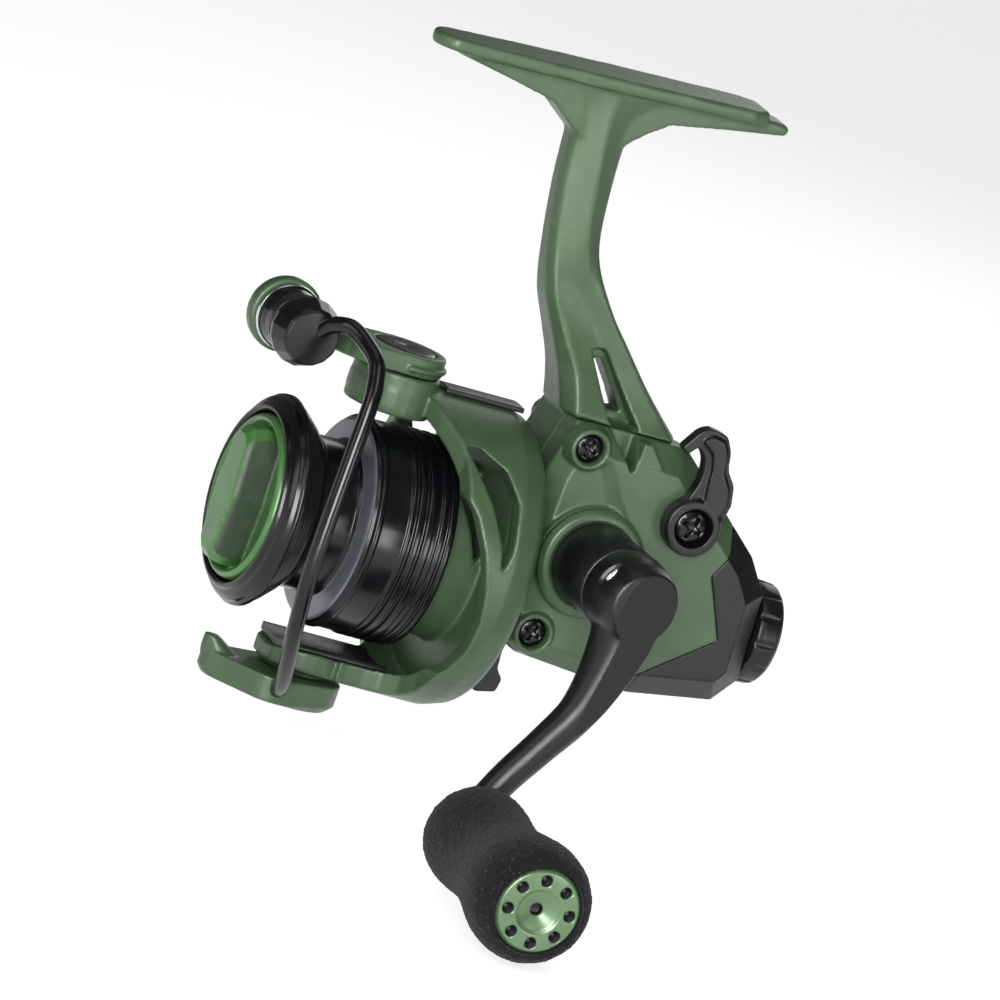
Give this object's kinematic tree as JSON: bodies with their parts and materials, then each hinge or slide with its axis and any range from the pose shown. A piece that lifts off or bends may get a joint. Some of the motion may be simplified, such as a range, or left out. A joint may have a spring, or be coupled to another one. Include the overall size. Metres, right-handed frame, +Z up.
{
  "type": "spinning reel",
  "caption": "Open-face spinning reel with tilted foot, folding wire bail, reciprocating spool, front drag knob, free-spool lever, rear tension knob and foam-grip crank.",
  "frame": {"origin": "centre of the foot's seating face", "axes": "+Z up to the rod, square to the spool shaft; the spool looks along -X; the crank stands out along -Y"},
  "size_m": [0.1043, 0.1024, 0.1356],
  "materials": {
    "green_body": "satin",
    "green_metal": "satin",
    "leaf_green": "satin",
    "black_plastic": "satin",
    "black_gloss": "gloss",
    "foam": "matte",
    "steel": "satin",
    "brass": "satin",
    "felt": "matte"
  },
  "bodies": {
    "housing": {"body_housing": "green_body", "side_cover": "green_body", "rear_cover": "black_plastic", "cover_screws": "black_gloss", "handle_ring": "green_body", "axle_cap": "black_plastic", "axle_bearings": "steel", "pinion_bearing": "steel", "clutch_ring": "steel", "clutch_rollers": "steel", "clutch_plate": "steel", "plate_screws": "steel", "guide_rod": "steel", "bait_screw": "black_gloss"},
    "crank": {"drive_gear": "brass", "crank_collar": "black_plastic", "crank_arm": "black_plastic", "fold_button": "steel", "knob_axle": "steel", "axle_nut": "steel"},
    "knob": {"knob_grip": "foam", "knob_core": "black_plastic", "knob_cap": "leaf_green"},
    "rotor": {"rotor": "green_body", "arm_trim": "black_plastic", "arm_liner": "black_plastic", "pinion": "brass", "clutch_sleeve": "steel", "rotor_nut": "brass", "nut_washer": "steel", "bail_pins": "steel"},
    "bail": {"bail_arm": "green_metal", "arm_inlay": "black_gloss", "bail_wire": "black_gloss", "roller_cone": "black_gloss", "roller_axle": "steel", "bail_lever": "green_metal", "lever_screw": "steel"},
    "roller": {"line_roller": "steel", "roller_bush": "brass"},
    "shaft": {"main_shaft": "steel", "slider_block": "black_plastic", "slider_screws": "steel", "spool_seat": "brass", "seat_washer": "felt", "drag_discs": "steel"},
    "spool": {"spool": "black_gloss", "spool_bush": "brass", "drag_felts": "felt", "drag_clip": "steel", "click_pawl": "brass", "line_clip": "steel"},
    "drag_knob": {"drag_knob": "leaf_green", "drag_nut": "brass", "drag_spring": "steel"},
    "level_wind": {"osc_gear": "black_plastic"},
    "reverse_lever": {"reverse_lever": "black_plastic"},
    "bait_lever": {"bait_lever": "black_plastic"},
    "rear_knob": {"rear_knob": "black_plastic", "rear_spring": "steel"}
  },
  "joints": [
    {"name": "crank_turn", "type": "hinge", "parent": "housing", "child": "crank", "pos_m": [0.0202, 0, -0.0785], "axis": [0, -1, 0], "continuous": true},
    {"name": "knob_spin", "type": "hinge", "parent": "crank", "child": "knob", "pos_m": [0.0044, -0.036, -0.122], "axis": [0, -0.9978, -0.0663], "continuous": true},
    {"name": "rotor_turn", "type": "hinge", "parent": "housing", "child": "rotor", "pos_m": [0, 0, -0.085], "axis": [1, 0, 0], "continuous": true},
    {"name": "bail_open", "type": "hinge", "parent": "rotor", "child": "bail", "pos_m": [-0.0185, 0, -0.085], "axis": [0, 0, -1], "range_deg": [0, 105]},
    {"name": "roller_spin", "type": "hinge", "parent": "bail", "child": "roller", "pos_m": [-0.0386, 0, -0.0549], "axis": [0, 1, 0], "continuous": true},
    {"name": "spool_stroke", "type": "slide", "parent": "housing", "child": "shaft", "axis": [1, 0, 0], "range_m": [-0.004, 0.007]},
    {"name": "spool_spin", "type": "hinge", "parent": "shaft", "child": "spool", "pos_m": [0, 0, -0.085], "axis": [1, 0, 0], "continuous": true},
    {"name": "drag_turn", "type": "hinge", "parent": "shaft", "child": "drag_knob", "pos_m": [0, 0, -0.085], "axis": [-1, 0, 0], "continuous": true},
    {"name": "level_wind_turn", "type": "hinge", "parent": "housing", "child": "level_wind", "pos_m": [0.033, 0, -0.0825], "axis": [0, -1, 0], "continuous": true},
    {"name": "reverse_switch", "type": "hinge", "parent": "housing", "child": "reverse_lever", "pos_m": [0.0155, 0.004, -0.096], "axis": [1, 0, 0], "range_deg": [-12, 12]},
    {"name": "bait_switch", "type": "hinge", "parent": "housing", "child": "bait_lever", "pos_m": [0.0345, 0, -0.0678], "axis": [0, 1, 0], "range_deg": [0, 35]},
    {"name": "tension_turn", "type": "hinge", "parent": "housing", "child": "rear_knob", "pos_m": [0, 0, -0.085], "axis": [1, 0, 0], "continuous": true}
  ],
  "couplings": [
    {"joint": "rotor_turn", "follows": "crank_turn", "ratio": 5},
    {"joint": "level_wind_turn", "follows": "crank_turn", "ratio": -0.6}
  ]
}
